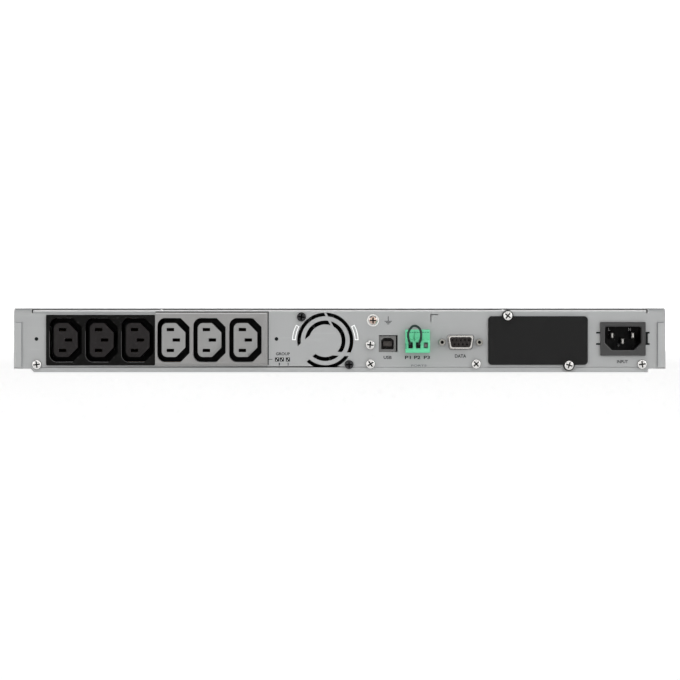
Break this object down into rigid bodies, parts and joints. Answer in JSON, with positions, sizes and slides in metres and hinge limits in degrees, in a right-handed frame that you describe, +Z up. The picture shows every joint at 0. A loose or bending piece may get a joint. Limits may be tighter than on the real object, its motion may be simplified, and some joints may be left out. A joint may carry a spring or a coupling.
{
  "type": "rackmount ups",
  "caption": "Low one-unit rack power supply: steel chassis with a row of mains outlets, fan grille, data ports and an option slot at the back, and a pull-out battery tray behind a front door.",
  "frame": {"origin": "centre of the footprint, on the surface that the unit stands on", "axes": "+Z up; -Y out of the connector panel; +Y out of the front bezel; +X to the right for someone facing the connector panel"},
  "size_m": [0.438, 0.5232, 0.0432],
  "materials": {
    "zinc_sheet": "satin grey, fine grained coating",
    "black_sheet": "matt black powder coat",
    "bare_steel": "zinc plated sheet",
    "screw_zinc": "bright zinc",
    "screw_black": "black oxide",
    "earth_brass": "plated brass",
    "black_moulding": "fine texture",
    "grey_moulding": "fine texture",
    "contact_brass": "bright",
    "pin_nickel": "nickel plate",
    "mint_moulding": "satin",
    "wire_sleeve": "satin",
    "board": "solder mask",
    "sink_aluminium": "extruded",
    "component_black": "moulded",
    "winding": "enamel and tape",
    "battery_case": "moulded case",
    "runner": "low friction strip",
    "bezel_black": "fine texture",
    "key_cap": "satin",
    "lens": "smoked",
    "screen": "liquid crystal",
    "light_pipe": "clear"
  },
  "bodies": {
    "chassis": {"battery_socket": "black_moulding", "bay_back_wall": "bare_steel", "bay_side_wall": "bare_steel", "board_standoffs": "screw_zinc", "bulk_capacitors": "component_black", "chassis_tray": "zinc_sheet", "comms_board": "board", "cover_screws": "screw_zinc", "display_board": "board", "display_lens": "lens", "display_module": "screen", "door_surround": "bezel_black", "earth_screw": "earth_brass", "fan_frame": "black_moulding", "fan_screws": "screw_black", "fan_stator": "black_moulding", "front_bezel": "bezel_black", "heat_sinks": "sink_aluminium", "inlet_filter": "bare_steel", "inlet_housing": "black_moulding", "inlet_pins": "pin_nickel", "main_board": "board", "outlet_block_dark": "black_moulding", "outlet_block_pale": "grey_moulding", "outlet_contacts": "contact_brass", "output_inductor": "winding", "panel_screws": "screw_zinc", "rear_panel": "zinc_sheet", "serial_insert": "black_moulding", "serial_jackscrews": "pin_nickel", "serial_shell": "pin_nickel", "slot_cage": "bare_steel", "slot_connector": "black_moulding", "status_lights": "light_pipe", "switching_parts": "component_black", "terminal_header": "mint_moulding", "top_cover": "zinc_sheet", "transformer_core": "bare_steel", "transformer_winding": "winding", "tray_runners": "runner", "usb_insert": "black_moulding", "usb_shell": "pin_nickel"},
    "fan_rotor": {"fan_rotor": "black_moulding"},
    "terminal_plug": {"terminal_plug": "mint_moulding", "terminal_screws": "screw_zinc", "bridge_wire": "wire_sleeve"},
    "slot_cover": {"slot_cover": "black_sheet", "slot_cover_screws": "screw_zinc"},
    "battery_tray": {"battery_tray": "bare_steel", "battery_blocks": "battery_case", "battery_terminals": "contact_brass", "battery_plug": "black_moulding", "tray_pull": "black_moulding"},
    "battery_door": {"battery_door": "bezel_black", "door_grip": "bezel_black"},
    "power_button": {"power_button": "key_cap"},
    "nav_button_1": {"nav_button_1": "key_cap"},
    "nav_button_2": {"nav_button_2": "key_cap"},
    "nav_button_3": {"nav_button_3": "key_cap"},
    "nav_button_4": {"nav_button_4": "key_cap"}
  },
  "joints": [
    {"name": "fan_spin", "type": "hinge", "parent": "chassis", "child": "fan_rotor", "pos_m": [-0.0097, -0.24, 0.0212], "axis": [0, 1, 0], "continuous": true},
    {"name": "terminal_plug_pull", "type": "slide", "parent": "chassis", "child": "terminal_plug", "axis": [0, -1, 0], "range_m": [0, 0.014]},
    {"name": "slot_cover_pull", "type": "slide", "parent": "chassis", "child": "slot_cover", "axis": [0, -1, 0], "range_m": [0, 0.03]},
    {"name": "battery_tray_slide", "type": "slide", "parent": "chassis", "child": "battery_tray", "axis": [0, 1, 0], "range_m": [0, 0.28]},
    {"name": "battery_door_pull", "type": "slide", "parent": "battery_tray", "child": "battery_door", "axis": [0, 1, 0], "range_m": [0, 0.06]},
    {"name": "power_button_press", "type": "slide", "parent": "chassis", "child": "power_button", "axis": [0, -1, 0], "range_m": [0, 0.0007], "stiffness_N_per_m": 1500, "springref_m": -0.0006},
    {"name": "nav_button_1_press", "type": "slide", "parent": "chassis", "child": "nav_button_1", "axis": [0, -1, 0], "range_m": [0, 0.0007], "stiffness_N_per_m": 1500, "springref_m": -0.0006},
    {"name": "nav_button_2_press", "type": "slide", "parent": "chassis", "child": "nav_button_2", "axis": [0, -1, 0], "range_m": [0, 0.0007], "stiffness_N_per_m": 1500, "springref_m": -0.0006},
    {"name": "nav_button_3_press", "type": "slide", "parent": "chassis", "child": "nav_button_3", "axis": [0, -1, 0], "range_m": [0, 0.0007], "stiffness_N_per_m": 1500, "springref_m": -0.0006},
    {"name": "nav_button_4_press", "type": "slide", "parent": "chassis", "child": "nav_button_4", "axis": [0, -1, 0], "range_m": [0, 0.0007], "stiffness_N_per_m": 1500, "springref_m": -0.0006}
  ]
}
